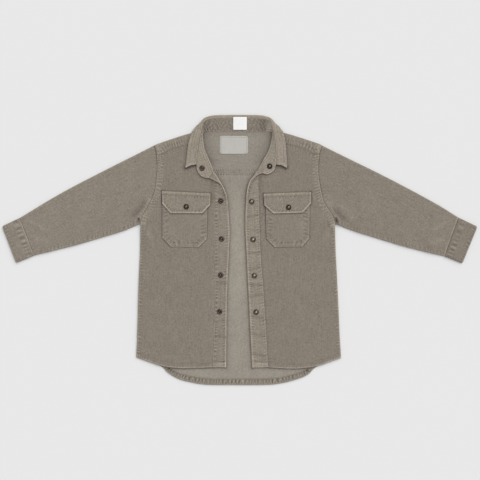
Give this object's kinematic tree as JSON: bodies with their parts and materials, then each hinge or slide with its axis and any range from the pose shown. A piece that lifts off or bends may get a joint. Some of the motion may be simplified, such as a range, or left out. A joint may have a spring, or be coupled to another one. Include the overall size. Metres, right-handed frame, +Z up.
{
  "type": "child's corduroy overshirt laid flat",
  "caption": "Child's long-sleeved corduroy overshirt laid flat with the front open: point collar, snap plackets, flap pockets, barrel cuffs and a curved hem.",
  "frame": {"origin": "centre of the bounding box at the surface that the garment lies on", "axes": "+X to the viewer's right across both sleeves, +Y from the hem towards the collar, +Z up from the surface; the viewer looks straight down"},
  "size_m": [0.9024, 0.5126, 0.0101],
  "materials": {
    "corduroy": "fine-wale taupe cotton corduroy, washed, with paler worn seam edges",
    "inside": "smooth greyer wrong side of the same corduroy",
    "neck_label": "plain light grey-beige woven label, bare",
    "stand_label": "plain white satin label, bare",
    "snap_metal": "dark antique metal, polished on the raised rims"
  },
  "bodies": {
    "root": {"back": "inside", "back_yoke": "corduroy", "back_hem": "corduroy", "front_left": "corduroy", "front_right": "corduroy", "placket_left": "corduroy", "placket_right": "corduroy", "placket_facing_left": "corduroy", "placket_facing_right": "corduroy", "pocket_left": "corduroy", "pocket_right": "corduroy", "flap_left": "corduroy", "flap_right": "corduroy", "sleeve_left": "corduroy", "sleeve_right": "corduroy", "cuff_left": "corduroy", "cuff_right": "corduroy", "collar_stand": "corduroy", "collar_leaf": "corduroy", "neck_label": "neck_label", "stand_label": "stand_label", "snap_placket_left_1": "snap_metal", "snap_placket_left_2": "snap_metal", "snap_placket_left_3": "snap_metal", "snap_placket_left_4": "snap_metal", "snap_placket_right_1": "snap_metal", "snap_placket_right_2": "snap_metal", "snap_placket_right_3": "snap_metal", "snap_placket_right_4": "snap_metal", "snap_stand_left": "snap_metal", "snap_stand_right": "snap_metal", "snap_flap_left": "snap_metal", "snap_flap_right": "snap_metal"}
  },
  "joints": []
}
